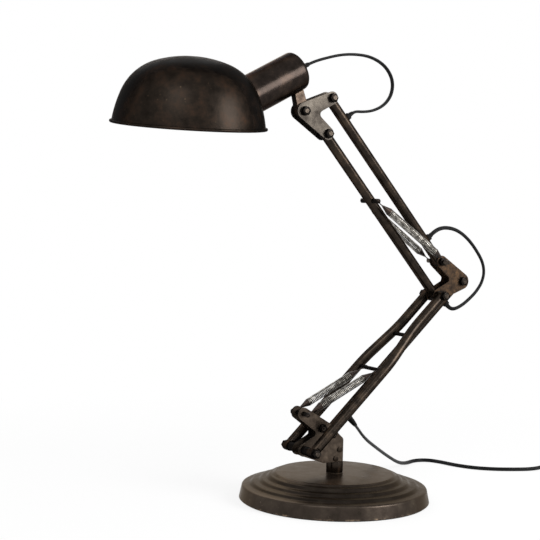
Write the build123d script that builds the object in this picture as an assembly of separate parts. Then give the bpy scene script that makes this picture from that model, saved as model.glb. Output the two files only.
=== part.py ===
from build123d import *
from build123d.topology import SkipClean
import math
import os

# Desk lamp with a parallelogram arm, a domed shade and a stepped round base.
# Millimetres, +Z up, origin at the centre of the base's underside.
# The arm swings in the X-Z plane and the shade hangs toward -X; -Y is the front.

# Base
base_r = 120.0
base_bottom = 1.0
wall_lean = 3.5
rim_top_z = 18.0
cover_t = 1.4
step_in = [12.5, 23.5, 33.5, 40.5]
step_foot_z = [19.6, 23.6, 27.9, 32.2]
step_top_z = [22.3, 26.3, 31.2, 34.4]
step_lean = 1.1
step_round = 0.8
rim_round = 2.4
pad_t = 3.0
pad_margin = 0.6
weight_top = 12.0
hub_r = 30.0

# Swivel post
post_r = 10.5
post_h = 13.6
washer_t = 1.0
seat_gap = 0.3
spindle_r = 5.0
fit = 0.05
spindle_nut_af = 13.0
spindle_nut_t = 6.0
spindle_end = 2.0
pocket_r = 11.0
pocket_top = 14.0
tongue_left = 9.0
tongue_right = 5.0
tongue_h = 22.0
rivet_r = 2.2
rivet_head_r = 3.4
rivet_head_t = 1.4
tongue_round = 2.6
rivet_low = (-4.5, 4.2)
rivet_high = (1.5, 15.3)

# Bracket plates
plate_t = 1.6
apex_r = 10.4
arm_end_r = 8.0
plate_arm = 43.5
opening = 61.0
plate_dir = 173.7
notch_r = 4.5
foot_left = 12.0
foot_right = 7.0
foot_shoulder = 7.0
foot_corner_r = 5.0

# Arm
apex_x = -11.7
apex_z = 85.5
tube_r = 6.35
tube_wall = 1.2
eye_t = 12.2
fork_eye_t = 9.8
eye_taper = 8.0
side_gap = 0.3
eye_solid = 14.0
lower_angle = 43.1
lower_len = 276.0
upper_angle = 131.2
upper_len = 270.0
open_fit = 0.35

# Fork
fork_low_y = 28.5
fork_high_y = 16.0
fork_flare_start = 155.0
fork_flare_end = 215.0
fork_bend_r = 140.0
rod_r = 2.5
rod_high_s = 202.7
rod_low_s = 141.0

# Pins and nuts
pin_r = 3.0
nut_af = 10.0
nut_t = 5.0
head_t = 4.0
thread_end = 6.5
stop_r = 5.0
stop_reach = 16.0
stop_dir = 150.0
anchor_arm = 50.0
anchor_dir = 146.4
spring_pin_s = 161.4
sleeve_r = 5.6

# Springs
coil_r = 4.2
wire_r = 0.75
coil_turns = 10
hook_gap = 0.35
shank_r = 0.6
hook_len = 7.0
cone_len = 12.0
cone_tip_r = 1.3
lead_bend = 2.0
low_spring_y = 14.5
high_spring_y = 17.5
link_spring_y = 14.5
anchor_end = 4.0

# Head
shade_from_tilt = (-154.27, -25.461)
shade_tilt_x = 5.9
shade_tilt_y = 0.85
sheet_t = 1.2
dome_h = 81.2
crown_r = 131.0
crown_half = 18.7
lip_r = 1.8
lip_z = 1.9
shoulder_r = 63.2
shoulder_end = 22.0
side_r = 153.0
housing_r = 24.3
housing_angle = 27.6
housing_from_tilt = (-65.77, 18.739)
housing_back = 66.0
housing_front = 24.0
cap_rise = 4.0
cap_round = 4.0
housing_wall = 1.2
gland_r = 5.0
gland_len = 8.0
gland_neck_r = 3.5
holder_r = 17.5
holder_len = 34.0
socket_r = 13.2
socket_wall = 1.0
socket_len = 24.0
socket_ring_r = 19.5
socket_ring_t = 3.0
contact_r = 3.0
contact_t = 2.0
stem_top_r = 6.2
stem_from_tilt = (-7.97, 27.539)
stem_eye_r = 8.0
stem_t = 10.0

# Cable
cord_r = 1.7
cord_sides = 8
cord_z = 1.8
grommet_r = 4.5
grommet_neck_r = 3.2
grommet_h = 3.0
grommet_s = 35.0
gland_lead = 12.0
head_lead = 9.0
elbow_lead_high = 10.0
elbow_lead_low = 7.0
mains_lead = 9.0
bend_share = 0.45

# Cord switch, coil and plug
switch_x = 400.0
switch_y = 22.0
switch_len = 58.0
switch_w = 25.0
switch_h = 17.0
switch_end_r = 11.25
switch_round = 2.5
rocker_len = 20.0
rocker_w = 11.0
rocker_end_h = 3.2
rocker_middle_h = 2.2
rocker_skirt = 0.4
rocker_gap = 0.6
well_depth = 5.5
axle_below = 2.2
axle_r = 1.2
axle_over = 2.0
coil_out_r = 38.0
coil_in_r = 20.0
coil_layer = 3.9
coil_layer_turns = 3
coil_lead = 28.0
coil_tail = 36.0
coil_straight = 4.0
plug_len = 36.0
plug_w = 24.0
plug_h = 14.0
plug_shoulder = 25.2
plug_corner_r = 3.0
plug_edge_r = 1.5
plug_pin_r = 2.0
plug_pin_len = 19.0
plug_pin_pitch = 19.0
relief_len = 12.0
relief_r = 3.2

os.makedirs("parts", exist_ok=True)


def write(name, solid):
    export_step(solid, "parts/" + name + ".step")


def polar(start, angle, length):
    turn = math.radians(angle)
    return (start[0] + length * math.cos(turn), start[1] + length * math.sin(turn))


def slab(outline, y_low, y_high):
    """Thickness along Y for an outline drawn in the X-Z plane."""
    flat = Plane.XZ * outline
    return Pos(0, y_low, 0) * extrude(flat, amount=y_high - y_low, dir=(0, 1, 0))


def pin(centre, y_low, y_high, radius):
    return slab(Pos(*centre) * Circle(radius), y_low, y_high)


def hexagon(centre, y_low, y_high, flats):
    six = RegularPolygon(flats / 2, 6, major_radius=False)
    return slab(Pos(*centre) * six, y_low, y_high)


def tapered_slot(first, first_r, second, second_r):
    edges = (Pos(*first) * Circle(first_r)).edges() + (Pos(*second) * Circle(second_r)).edges()
    return make_hull(edges)


def along(start, angle, shape):
    """Turn a shape that lies along +X into the X-Z plane at an angle."""
    return Pos(start[0], 0, start[1]) * Rot(0, -angle, 0) * shape


# Pivot centres in the X-Z plane
base_apex = (apex_x, apex_z)
fork_pivot = polar(base_apex, plate_dir + opening / 2, plate_arm)
spring_anchor = polar(base_apex, anchor_dir, anchor_arm)
elbow_apex = polar(base_apex, lower_angle, lower_len)
elbow_low = polar(elbow_apex, plate_dir + opening / 2, plate_arm)
elbow_high = polar(elbow_apex, plate_dir - opening / 2, plate_arm)
head_low = polar(elbow_low, upper_angle, upper_len)
head_high = polar(elbow_high, upper_angle, upper_len)
head_apex = polar(head_low, plate_dir - opening / 2, plate_arm)


def beside(place, offset):
    return (place[0] + offset[0], place[1] + offset[1])


housing_place = beside(head_apex, housing_from_tilt)
shade_place = beside(head_apex, shade_from_tilt)
stem_top = beside(head_apex, stem_from_tilt)

rim_top_r = base_r - wall_lean
step_r = [rim_top_r - inwards for inwards in step_in]

disc_z = step_top_z[-1]
post_z = disc_z + washer_t + seat_gap
plate_foot_z = post_z + post_h
plate_inner = tube_r + side_gap
plate_outer = plate_inner + plate_t
fork_eye_half = fork_eye_t / 2


def base_profile(inset):
    points = [(base_r - inset, base_bottom), (rim_top_r - inset, rim_top_z - inset)]
    for radius, foot, top in zip(step_r, step_foot_z, step_top_z):
        points.append((radius + step_lean - inset, foot - inset))
        points.append((radius - inset, top - inset))
    points.append((0, disc_z - inset))
    points.append((0, base_bottom))
    return make_face(Polyline(*points, close=True))


def base():
    face = base_profile(0)
    edge_points = face.vertices().filter_by(lambda v: step_r[-1] - 1 < v.X < rim_top_r - 1)
    face = fillet(edge_points, step_round)
    shoulder = face.vertices().filter_by(lambda v: abs(v.X - rim_top_r) < 0.01)
    face = fillet(shoulder, rim_round)
    core = revolve(Plane.XZ * base_profile(cover_t), Axis.Z)
    bore = Cylinder(spindle_r + fit, 2 * disc_z)
    cover = revolve(Plane.XZ * face, Axis.Z) - core - bore
    pad_r = base_r - cover_t - pad_margin
    below = Cylinder(2 * base_r, pad_t, align=(Align.CENTER, Align.CENTER, Align.MIN))
    pocket = Cylinder(pocket_r, pocket_top, align=(Align.CENTER, Align.CENTER, Align.MIN))
    hollow = Cylinder(2 * base_r, disc_z, align=(Align.CENTER, Align.CENTER, Align.MIN))
    hollow -= Cylinder(hub_r, 2 * disc_z, align=(Align.CENTER, Align.CENTER, Align.MIN))
    weight = core - below - pocket - bore - Pos(0, 0, weight_top) * hollow
    write("felt_pad", Cylinder(pad_r, pad_t, align=(Align.CENTER, Align.CENTER, Align.MIN)))
    write("base_cover", cover)
    write("base_weight", weight)
    ring = Cylinder(post_r, washer_t, align=(Align.CENTER, Align.CENTER, Align.MIN)) - bore
    write("swivel_washer", Pos(0, 0, disc_z) * ring)


def bolt(name, centre, front_face, rear_face, front_reach=thread_end):
    """A bolt whose hex head bears on one face and whose nut bears on the other."""
    shank = pin(centre, front_face - front_reach, rear_face, pin_r)
    head = hexagon(centre, rear_face, rear_face + head_t, nut_af)
    nut = hexagon(centre, front_face - nut_t, front_face, nut_af)
    write(name, shank + head + nut)


def pin_holes(centres, radius=pin_r):
    holes = [Pos(*c) * Circle(radius) for c in centres]
    return Sketch() + holes


def bracket(apex, ends, end_r=arm_end_r):
    """A plate with one arm from the apex to each end, rounded in the fork between them."""
    outline = Sketch()
    for end in ends:
        outline += tapered_slot(apex, apex_r, end, end_r)
    middle = ((ends[0][0] + ends[1][0]) / 2, (ends[0][1] + ends[1][1]) / 2)
    notch = outline.vertices().sort_by_distance((middle[0], middle[1], 0))[0]
    return fillet(notch, notch_r)


def plate_pair(name, outline):
    write(name + "_front", slab(outline, -plate_outer, -plate_inner))
    write(name + "_rear", slab(outline, plate_inner, plate_outer))


def rivet(spot):
    end = plate_outer + rivet_head_t
    shank = pin(spot, -end, end, rivet_r)
    return shank + pin(spot, -end, -plate_outer, rivet_head_r) + pin(spot, plate_outer, end, rivet_head_r)


def yoke():
    rivets = [(rivet_low[0], plate_foot_z + rivet_low[1]), (rivet_high[0], plate_foot_z + rivet_high[1])]
    round_bar = Cylinder(post_r, post_h, align=(Align.CENTER, Align.CENTER, Align.MIN))
    spindle_len = post_z - pad_t - spindle_end
    stud = Cylinder(spindle_r, spindle_len, align=(Align.CENTER, Align.CENTER, Align.MAX))
    tongue = slab(
        Pos((tongue_right - tongue_left) / 2, plate_foot_z + tongue_h / 2)
        * RectangleRounded(tongue_left + tongue_right, tongue_h, tongue_round),
        -plate_inner, plate_inner)
    root = slab(
        Pos((tongue_right - tongue_left) / 2, plate_foot_z)
        * Rectangle(tongue_left + tongue_right, tongue_h / 2, align=(Align.CENTER, Align.MIN)),
        -plate_inner, plate_inner)
    post = Pos(0, 0, post_z) * (round_bar + stud) + tongue + root
    for spot in rivets:
        post += rivet(spot)
    write("post", post)
    nut_top = pocket_top - seat_gap
    six = extrude(RegularPolygon(spindle_nut_af / 2, 6, major_radius=False), -spindle_nut_t)
    write("spindle_nut", Pos(0, 0, nut_top) * six - Cylinder(spindle_r, 2 * disc_z))

    stop = polar(base_apex, stop_dir, stop_reach)
    outline = bracket(base_apex, [fork_pivot, spring_anchor])
    right = foot_right
    foot = Polyline(
        (fork_pivot[0], fork_pivot[1] - arm_end_r), (-foot_left - apex_r, plate_foot_z),
        (right, plate_foot_z), (right, apex_z - foot_shoulder),
        (apex_x + apex_r, apex_z), base_apex, fork_pivot, close=True)
    foot_face = make_face(foot)
    corner = foot_face.vertices().sort_by_distance((right, apex_z - foot_shoulder, 0))[0]
    foot_face = fillet(corner, foot_corner_r)
    outline += foot_face
    outline -= pin_holes([base_apex, fork_pivot, spring_anchor, stop])
    outline -= pin_holes(rivets, rivet_r)
    plate_pair("yoke_plate", outline)

    bolt("yoke_apex_bolt", base_apex, -plate_outer, plate_outer)
    spacer = pin(stop, -plate_inner, plate_inner, stop_r)
    stop_shank = pin(stop, -plate_outer, plate_outer, pin_r)
    stop_ends = hexagon(stop, -plate_outer - head_t, -plate_outer, nut_af)
    stop_ends += hexagon(stop, plate_outer, plate_outer + head_t, nut_af)
    write("stop_bolt", spacer + stop_shank + stop_ends)

    reach = fork_low_y + fork_eye_half + seat_gap
    bolt("fork_pin", fork_pivot, -reach, reach)
    sleeve = pin(fork_pivot, plate_outer, fork_low_y - fork_eye_half - seat_gap, sleeve_r)
    sleeve -= pin(fork_pivot, 0, fork_low_y, pin_r)
    write("fork_spacer_rear", sleeve)
    write("fork_spacer_front", mirror(sleeve, Plane.XZ))
    half = low_spring_y + anchor_end
    anchor = pin(spring_anchor, -half, half, pin_r)
    write("spring_anchor_pin", anchor)


def eye_tube(line, eyes, eye_thick):
    """A round tube along a line in the X-Y plane, its ends pressed flat into eyes.

    Each eye is its centre, the way that the tube runs from it, and its hole's radius.
    """
    eye_half = eye_thick / 2
    tube = sweep(Plane(origin=line @ 0, z_dir=line % 0) * Circle(tube_r), path=line)
    for x, y, way, hole in eyes:
        tube += Pos(x, y, 0) * Rot(90, 0, 0) * Cylinder(tube_r, eye_thick)
    inside = line.trim(eye_solid / line.length, 1 - eye_solid / line.length)
    tube -= sweep(Plane(origin=inside @ 0, z_dir=inside % 0) * Circle(tube_r - tube_wall), path=inside)
    for x, y, way, hole in eyes:
        beyond = 2 * tube_r
        cheek = make_face(Polyline(
            (x - way * beyond, eye_half), (x + way * tube_r, eye_half),
            (x + way * (tube_r + eye_taper), beyond), (x - way * beyond, beyond), close=True))
        cut = extrude(cheek, beyond, both=True)
        tube -= Pos(0, y, 0) * cut
        tube -= Pos(0, y, 0) * mirror(cut, Plane.XZ)
        tube -= Pos(x, y, 0) * Rot(90, 0, 0) * Cylinder(hole, beyond)
    return tube


def straight_tube(length, far_hole):
    line = Line((0, 0, 0), (length, 0, 0))
    return eye_tube(line, [(0, 0, 1, pin_r + fit), (length, 0, -1, far_hole)], eye_t)


def grommet(s):
    """A rubber bush in the tube's wall, on the side that local -Z points to."""
    flange = Pos(s, 0, -tube_r) * Cylinder(grommet_r, 2 * grommet_h)
    neck = Pos(s, 0, -tube_r) * Cylinder(grommet_neck_r, 2 * tube_wall)
    round_tube = Rot(0, 90, 0) * Cylinder(tube_r, 4 * s)
    return (flange - round_tube) + neck


def cable_tube(name, start, angle, length):
    tube = straight_tube(length, pin_r + fit)
    for label, s in (("low", grommet_s), ("high", length - grommet_s)):
        bush = grommet(s)
        tube -= bush
        write(name + "_grommet_" + label, along(start, angle, bush))
    write(name + "_cable_tube", along(start, angle, tube))


def grommet_mouth(start, angle, s):
    """The middle of a grommet's outer face, and the way out of it."""
    foot = polar(start, angle, s)
    face = polar(foot, angle - 90, tube_r + grommet_h)
    way = polar((0, 0), angle - 90, 1)
    return Vector(face[0], 0, face[1]), Vector(way[0], 0, way[1])


def fork():
    points = [
        (0, fork_low_y, 0), (fork_flare_start, fork_low_y, 0),
        (fork_flare_end, fork_high_y, 0), (lower_len, fork_high_y, 0)]
    line = FilletPolyline(*points, radius=fork_bend_r)
    eyes = [(0, fork_low_y, 1, pin_r + fit), (lower_len, fork_high_y, -1, pin_r + open_fit)]
    rear = eye_tube(line, eyes, fork_eye_t)
    slope = (fork_low_y - fork_high_y) / (fork_flare_end - fork_flare_start)
    high_y = fork_low_y - slope * (rod_high_s - fork_flare_start)
    rods = []
    for name, s, y in (("fork_rod_high", rod_high_s, high_y), ("fork_rod_low", rod_low_s, fork_low_y)):
        rod = Pos(s, 0, 0) * Rot(90, 0, 0) * Cylinder(rod_r, 2 * y)
        rear -= rod
        rods.append((name, rod))
    front = mirror(rear, Plane.XZ)
    write("fork_tube_rear", along(fork_pivot, lower_angle, rear))
    write("fork_tube_front", along(fork_pivot, lower_angle, front))
    for name, rod in rods:
        write(name, along(fork_pivot, lower_angle, rod))


def elbow():
    outline = bracket(elbow_apex, [elbow_low, elbow_high])
    outline -= pin_holes([elbow_apex, elbow_low, elbow_high])
    plate_pair("elbow_plate", outline)
    bolt("elbow_apex_bolt", elbow_apex, -plate_outer, plate_outer)
    reach = fork_high_y + fork_eye_half + seat_gap
    bolt("elbow_fork_pin", elbow_low, -reach, reach)
    spacer = pin(elbow_low, plate_outer, fork_high_y - fork_eye_half - seat_gap, sleeve_r)
    spacer -= pin(elbow_low, 0, fork_high_y, pin_r)
    write("elbow_spacer_rear", spacer)
    write("elbow_spacer_front", mirror(spacer, Plane.XZ))
    half = high_spring_y + anchor_end
    shank = pin(elbow_high, -half, half, pin_r)
    shank += hexagon(elbow_high, plate_outer, plate_outer + nut_t, nut_af)
    shank += hexagon(elbow_high, -plate_outer - nut_t, -plate_outer, nut_af)
    write("elbow_spring_pin", shank)


def upper_link():
    tube = straight_tube(upper_len, pin_r + open_fit)
    cross = Pos(spring_pin_s, 0, 0) * Rot(90, 0, 0) * Cylinder(pin_r, 2 * (link_spring_y + anchor_end))
    tube -= cross
    write("upper_link_tube", along(elbow_low, upper_angle, tube))
    write("upper_spring_pin", along(elbow_low, upper_angle, cross))


def head_bracket():
    outline = bracket(head_apex, [head_low, head_high])
    outline -= pin_holes([head_apex, head_low, head_high])
    plate_pair("head_plate", outline)
    bolt("head_low_bolt", head_low, -plate_outer, plate_outer)
    bolt("head_high_bolt", head_high, -plate_outer, plate_outer)
    bolt("head_tilt_bolt", head_apex, -plate_outer, plate_outer)


def dome_face(inset, foot):
    """Half of the dome's section: three tangent arcs from the crown to the lip."""
    crown = (0, dome_h - crown_r)
    start = 90 - crown_half
    shoulder = polar(crown, start, crown_r - shoulder_r)
    side = polar(shoulder, shoulder_end, shoulder_r - side_r)
    low = math.degrees(math.asin((foot - side[1]) / (side_r - inset)))
    arcs = [
        CenterArc(crown, crown_r - inset, start, crown_half),
        CenterArc(shoulder, shoulder_r - inset, shoulder_end, start - shoulder_end),
        CenterArc(side, side_r - inset, low, shoulder_end - low)]
    top = (0, dome_h - inset)
    rim = polar(side, low, side_r - inset)
    edges = arcs + [Line(rim, (0, foot)), Line((0, foot), top)]
    return make_face(Wire([piece.edge() for piece in edges])), rim[0]


def in_housing(shape):
    return along(housing_place, housing_angle, shape)


def capped_cylinder(radius, front, back):
    """A closed cylinder along X whose far end is a shallow dome."""
    outline = [
        Line((front, 0), (front, radius)), Line((front, radius), (back, radius)),
        ThreePointArc((back, radius), (back + cap_rise * 3 / 4, radius / 2), (back + cap_rise, 0)),
        Line((back + cap_rise, 0), (front, 0))]
    face = make_face(Wire([piece.edge() for piece in outline]))
    corner = face.vertices().sort_by_distance((back, radius, 0))[0]
    return revolve(fillet(corner, cap_round), Axis.X)


def disc_along(front, back, radius):
    """A cylinder on the housing's axis between two distances."""
    return Pos(front, 0, 0) * Rot(0, 90, 0) * Cylinder(
        radius, back - front, align=(Align.CENTER, Align.CENTER, Align.MIN))


def head():
    shell = capped_cylinder(housing_r, -housing_front, housing_back)
    shell -= capped_cylinder(housing_r - housing_wall, -2 * housing_front, housing_back - housing_wall)
    holder_back = housing_back - cap_round
    holder_front = holder_back - holder_len
    mouth = holder_front - socket_len
    apex = housing_back + cap_rise
    neck = disc_along(holder_back - gland_neck_r, apex, gland_neck_r)
    collar = disc_along(housing_back, apex + gland_len, gland_r) - capped_cylinder(
        housing_r, -housing_front, housing_back)
    shell -= neck
    write("socket_housing", in_housing(shell))
    write("cord_gland", in_housing(neck + collar))
    sleeve_r_in = socket_r + socket_wall
    body = disc_along(mouth, holder_back, holder_r)
    body += disc_along(mouth, mouth + socket_ring_t, socket_ring_r)
    body -= disc_along(mouth, holder_front, sleeve_r_in)
    body -= neck
    write("lampholder", in_housing(body))
    thread = disc_along(mouth, holder_front, sleeve_r_in) - disc_along(mouth, holder_front, socket_r)
    write("socket_shell", in_housing(thread))
    write("centre_contact", in_housing(disc_along(holder_front - contact_t, holder_front, contact_r)))

    solid = in_housing(disc_along(-2 * housing_front, housing_back, housing_r))
    outer, rim_r = dome_face(0, lip_z)
    inner, inner_r = dome_face(sheet_t, lip_z)
    dome = revolve(Plane.XZ * outer, Axis.Z) - revolve(Plane.XZ * inner, Axis.Z)
    dome += Pos(0, 0, lip_z) * Torus(rim_r - sheet_t + lip_r, lip_r)
    shade = Pos(shade_place[0], 0, shade_place[1]) * Rot(shade_tilt_x, -shade_tilt_y, 0) * dome
    shade -= solid
    write("shade", max(shade.solids(), key=lambda piece: piece.volume))

    stem = slab(tapered_slot(head_apex, stem_eye_r, stem_top, stem_top_r), -stem_t / 2, stem_t / 2)
    stem -= pin(head_apex, -plate_outer, plate_outer, pin_r + fit)
    stem -= solid
    write("head_stem", max(stem.solids(), key=lambda piece: piece.volume))


def biarc(start, start_way, end, end_way):
    """Two tangent arcs from one point and direction to another."""
    gap = end - start
    both = start_way + end_way
    square = 2 * (1 - start_way.dot(end_way))
    dot = gap.dot(both)
    if square < 1e-9:
        reach = gap.dot(gap) / (4 * gap.dot(end_way))
    else:
        reach = (math.sqrt(dot * dot + square * gap.dot(gap)) - dot) / square
    middle = (start + end + (start_way - end_way) * reach) * 0.5
    first = Edge.make_tangent_arc(start, start_way, middle)
    return [first, Edge.make_tangent_arc(middle, first % 1, end)]


def smooth_path(stations):
    """Biarcs through points that each have a direction; straight where it keeps its line."""
    edges = []
    for (start, way), (end, end_way) in zip(stations, stations[1:]):
        straight = (end - start).normalized()
        if (straight - way).length < 1e-6 and (straight - end_way).length < 1e-6:
            edges.append(Edge.make_line(start, end))
        else:
            edges += biarc(start, way, end, end_way)
    return Wire(edges)


def least_gap(path, diameter):
    """The least space between turns, on points half a diameter apart."""
    count = int(2 * path.length / diameter)
    points = [path.position_at(i / count) for i in range(count + 1)]
    apart = 8
    least = min(
        (points[i] - points[j]).length
        for i in range(count + 1) for j in range(i + apart, count + 1))
    return least - diameter


def wound(path, radius, sides):
    section = Plane(origin=path @ 0, z_dir=path % 0) * RegularPolygon(radius, sides)
    return sweep(section, path=path, clean=False)


def spring(name, start, end, report=False):
    """A tension spring: an eye round each pin, a shank, a cone and the turns between."""
    axis = end - start
    length = axis.length
    sideways = Vector(0, 1, 0)
    across = (sideways - axis * (sideways.dot(axis) / axis.dot(axis))).normalized()
    place = Plane(origin=start, x_dir=across, z_dir=axis.normalized())
    eye_r = pin_r + hook_gap + wire_r
    ends = Rot(0, 90, 0) * Torus(eye_r, wire_r)
    ends += Pos(0, 0, eye_r) * Cylinder(
        shank_r, hook_len, align=(Align.CENTER, Align.CENTER, Align.MIN))
    cone_z = eye_r + hook_len
    coil_z = cone_z + cone_len
    ends += Pos(0, 0, cone_z) * Cone(
        cone_tip_r, coil_r + wire_r, cone_len, align=(Align.CENTER, Align.CENTER, Align.MIN))
    far = Pos(0, 0, length) * Rot(180, 0, 0) * ends
    up = Vector(0, 0, 1)
    stub = 2 * wire_r
    seat = Vector(coil_r - wire_r / 2, 0, coil_z - wire_r / 2)
    rise = Vector(seat.X, 0, coil_z + stub)
    turn = Vector(seat.X, lead_bend, rise.Z + lead_bend)
    low = turn.Z + lead_bend
    high = length - low
    stations = [(seat, up), (rise, up), (turn, Vector(0, 1, 0))]
    steps = 2 * coil_turns - 1
    pitch = (high - low) / steps
    for i in range(steps + 1):
        angle = math.pi * (i + 0.5)
        spot = Vector(coil_r * math.cos(angle), coil_r * math.sin(angle), low + pitch * i)
        way = Vector(-math.sin(angle) * coil_r, math.cos(angle) * coil_r, pitch / math.pi)
        stations.append((spot, way.normalized()))
    last = Vector(seat.X, -lead_bend, length - turn.Z)
    stations.append((last, Vector(0, 1, 0)))
    stations.append((Vector(seat.X, 0, length - rise.Z), up))
    stations.append((Vector(seat.X, 0, length - seat.Z), up))
    path = smooth_path(stations)
    if report:
        print(name, "least gap between turns", round(least_gap(path, 2 * wire_r), 2))
    turns = wound(path, wire_r, 6)
    with SkipClean():
        whole = turns + ends + far
    write(name, place * whole)


def springs():
    rod = polar(fork_pivot, lower_angle, rod_low_s)
    link = polar(elbow_low, upper_angle, spring_pin_s)
    for side, sign in (("front", -1), ("rear", 1)):
        low = Vector(spring_anchor[0], sign * low_spring_y, spring_anchor[1])
        high = Vector(rod[0], sign * low_spring_y, rod[1])
        spring("lower_spring_" + side, low, high, report=sign < 0)
        low = Vector(elbow_high[0], sign * high_spring_y, elbow_high[1])
        high = Vector(link[0], sign * link_spring_y, link[1])
        spring("upper_spring_" + side, low, high, report=sign < 0)


def cord(name, points):
    """A cord's stretch: straight runs joined by arcs as large as the runs allow."""
    runs = [b - a for a, b in zip(points, points[1:])]
    radii = []
    for before, after in zip(runs, runs[1:]):
        half = math.radians(before.get_angle(after) / 2)
        radii.append(bend_share * min(before.length, after.length) / math.tan(half))
    path = FilletPolyline(*points, radius=radii)
    tube = wound(path, cord_r, cord_sides)
    area = RegularPolygon(cord_r, cord_sides).area
    ratio = tube.volume / (area * path.length)
    print(name, "radii", [round(r) for r in radii], "volume ratio", round(ratio, 4))
    print(name, "length", round(path.length))
    write(name, tube)
    return path.length


def flat_points(place, *offsets):
    """Points in the arm's plane, each given from a pivot."""
    return [Vector(place[0] + x, 0, place[1] + z) for x, z in offsets]


def split_cord(first_name, second_name, points, last):
    """Two stretches that meet in the middle of the run after the point numbered last."""
    middle = (points[last] + points[last + 1]) * 0.5
    length = cord(first_name, points[:last + 1] + [middle])
    return length + cord(second_name, [middle] + points[last + 1:])


def loops():
    gland = polar(housing_place, housing_angle, housing_back + cap_rise + gland_len)
    gland_way = polar((0, 0), housing_angle, 1)
    gland_end = Vector(gland[0], 0, gland[1])
    out = Vector(gland_way[0], 0, gland_way[1])
    mouth, way = grommet_mouth(elbow_high, upper_angle, upper_len - grommet_s)
    points = [gland_end, gland_end + out * gland_lead] + flat_points(
        head_apex, (34.5, 67), (56.5, 72.5), (78.5, 74.5), (100.5, 73), (120.5, 65), (132.5, 52.5),
        (136.5, 39), (133, 24.5), (122.5, 13), (107.5, 6), (92.5, 3.5))
    split_cord("head_loop_upper", "head_loop_lower", points + [mouth + way * head_lead, mouth], 7)
    mouth, way = grommet_mouth(elbow_high, upper_angle, grommet_s)
    points = [mouth, mouth + way * elbow_lead_high] + flat_points(
        elbow_apex, (-30.8, 70.4), (-14.8, 69.9), (0.2, 64.9), (16.2, 53.9), (30.2, 38.9), (40.2, 24.9),
        (43.7, 10.9), (40.2, -2.6), (31.2, -14.6), (19.2, -24.6), (7.2, -32.6), (-5.3, -37.6))
    mouth, way = grommet_mouth(base_apex, lower_angle, lower_len - grommet_s)
    points += [mouth + way * elbow_lead_low, mouth]
    split_cord("elbow_loop_upper", "elbow_loop_lower", points, 7)


def mains():
    mouth, way = grommet_mouth(base_apex, lower_angle, grommet_s)
    places = [
        (40, 12, 88), (71, 36, 65.5), (111, 63, 44.5), (147, 88, 26.5), (184, 113, 9.5),
        (212, 132, 2.2), (236, 145, cord_z), (256, 140, cord_z), (265, 120, cord_z),
        (270, 94, cord_z), (282, 68, cord_z), (303, 48, cord_z), (329, 34.5, cord_z),
        (352, 26, cord_z), (370, switch_y, 4.5), (386, switch_y, switch_h / 2),
        (switch_x, switch_y, switch_h / 2)]
    points = [mouth, mouth + way * mains_lead] + [Vector(*place) for place in places]
    return split_cord("mains_drop", "mains_run", points, 4)


def cord_switch():
    body = extrude(RectangleRounded(switch_len, switch_w, switch_end_r), switch_h)
    faces = body.edges().group_by(Axis.Z)
    body = fillet(faces[-1] + faces[0], switch_round)
    well = Pos(0, 0, switch_h - well_depth) * Box(
        rocker_len + 2 * rocker_gap, rocker_w + 2 * rocker_gap, switch_h,
        align=(Align.CENTER, Align.CENTER, Align.MIN))
    axle_z = switch_h - axle_below
    turned = Pos(0, 0, axle_z) * Rot(90, 0, 0)
    place = Pos(switch_x + switch_len / 2, switch_y, 0)
    boss = (rocker_len / 4, 0)
    swell = tapered_slot((-boss[0], 0), axle_below, boss, axle_below)
    top = make_face(Polyline(
        (-rocker_len / 2, -rocker_skirt), (rocker_len / 2, -rocker_skirt),
        (rocker_len / 2, rocker_end_h), (0, rocker_middle_h), (-rocker_len / 2, rocker_end_h),
        close=True))
    lever = slab(Pos(0, axle_z) * (top + swell), -rocker_w / 2, rocker_w / 2)
    lever += turned * Cylinder(axle_r, rocker_w + 2 * axle_over)
    body -= well
    body -= turned * Cylinder(axle_r + fit, rocker_w + 3 * axle_over)
    write("cord_switch_body", place * body)
    write("cord_switch_rocker", place * lever)


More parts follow.
